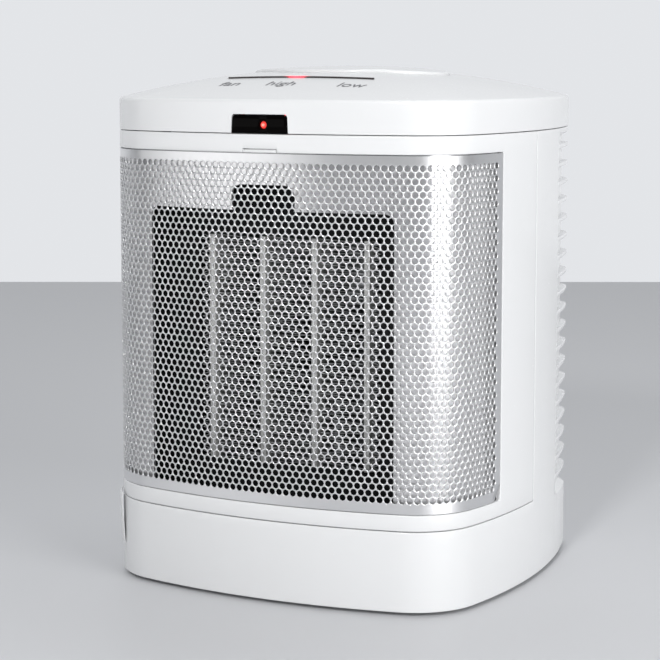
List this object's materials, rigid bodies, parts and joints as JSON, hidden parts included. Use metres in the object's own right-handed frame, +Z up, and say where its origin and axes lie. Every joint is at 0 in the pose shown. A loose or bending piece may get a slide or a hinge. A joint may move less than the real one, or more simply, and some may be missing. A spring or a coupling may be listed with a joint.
{
  "type": "ceramic space heater",
  "caption": "Tabletop ceramic space heater: bowed white casing, wrap-round perforated grille over a heater core and fan, louvred back, oval push button on a domed top.",
  "frame": {"origin": "on the surface that the heater stands on, under the middle of its bounding box", "axes": "+Z up; the grille faces -Y and the louvred back faces +Y; +X is on the right of someone who faces the front"},
  "size_m": [0.1906, 0.1742, 0.2365],
  "materials": {
    "white_plastic": "glossy moulded cool white",
    "baffle_plastic": "satin moulded pale grey white",
    "grille_steel": "satin silver coated sheet",
    "black_plastic": "matt heat-resistant black",
    "smoked_lens": "polished dark tinted",
    "red_lens": "glowing red",
    "fin_aluminium": "mill finish",
    "heater_bar": "pale satin",
    "zinc_steel": "zinc plated",
    "bush_bronze": "sintered bronze",
    "terminal_brass": "plain",
    "circuit_board": "green solder mask",
    "foot_rubber": "matt"
  },
  "bodies": {
    "casing": {"rear_housing": "white_plastic", "front_housing": "white_plastic", "top_cover": "white_plastic", "base_plate": "white_plastic", "base_latch": "white_plastic", "grille": "grille_steel", "grille_clip": "white_plastic", "front_baffle": "baffle_plastic", "button_spring": "zinc_steel", "switch_body": "black_plastic", "control_board": "circuit_board", "light_bar": "smoked_lens", "mode_light_left": "red_lens", "mode_light_high": "red_lens", "mode_light_low": "red_lens", "indicator_window": "smoked_lens", "indicator_light": "red_lens", "outlet_duct": "black_plastic", "heater_frame": "black_plastic", "heater_bar_1": "heater_bar", "heater_bar_2": "heater_bar", "heater_bar_3": "heater_bar", "heater_bar_4": "heater_bar", "fin_pack_1": "fin_aluminium", "fin_pack_2": "fin_aluminium", "fin_pack_3": "fin_aluminium", "fin_pack_4": "fin_aluminium", "fin_pack_5": "fin_aluminium", "heater_terminal_left": "terminal_brass", "heater_terminal_right": "terminal_brass", "thermal_cutout": "zinc_steel", "fan_shroud": "black_plastic", "motor_body": "zinc_steel", "motor_bracket": "black_plastic", "front_bush": "bush_bronze", "rear_bush": "bush_bronze", "base_screw_front_left": "zinc_steel", "base_screw_front_right": "zinc_steel", "base_screw_rear_left": "zinc_steel", "base_screw_rear_right": "zinc_steel", "foot_front_left": "foot_rubber", "foot_front_right": "foot_rubber", "foot_rear_left": "foot_rubber", "foot_rear_right": "foot_rubber", "cord_gland": "black_plastic", "tilt_switch": "black_plastic"},
    "button": {"control_button": "white_plastic"},
    "plunger": {"switch_plunger": "baffle_plastic"},
    "rotor": {"fan_wheel": "black_plastic", "motor_shaft": "zinc_steel"}
  },
  "joints": [
    {"name": "button_press", "type": "slide", "parent": "casing", "child": "button", "axis": [0, 0, -1], "range_m": [0, 0.0018], "stiffness_N_per_m": 600, "springref_m": -0.002, "deforming": ["button_spring"]},
    {"name": "plunger_travel", "type": "slide", "parent": "casing", "child": "plunger", "axis": [0, 0, -1], "range_m": [0, 0.0018]},
    {"name": "fan_spin", "type": "hinge", "parent": "casing", "child": "rotor", "pos_m": [0, -0.0186, 0.1125], "axis": [0, 1, 0], "continuous": true}
  ],
  "couplings": [
    {"joint": "plunger_travel", "follows": "button_press", "ratio": 1}
  ]
}
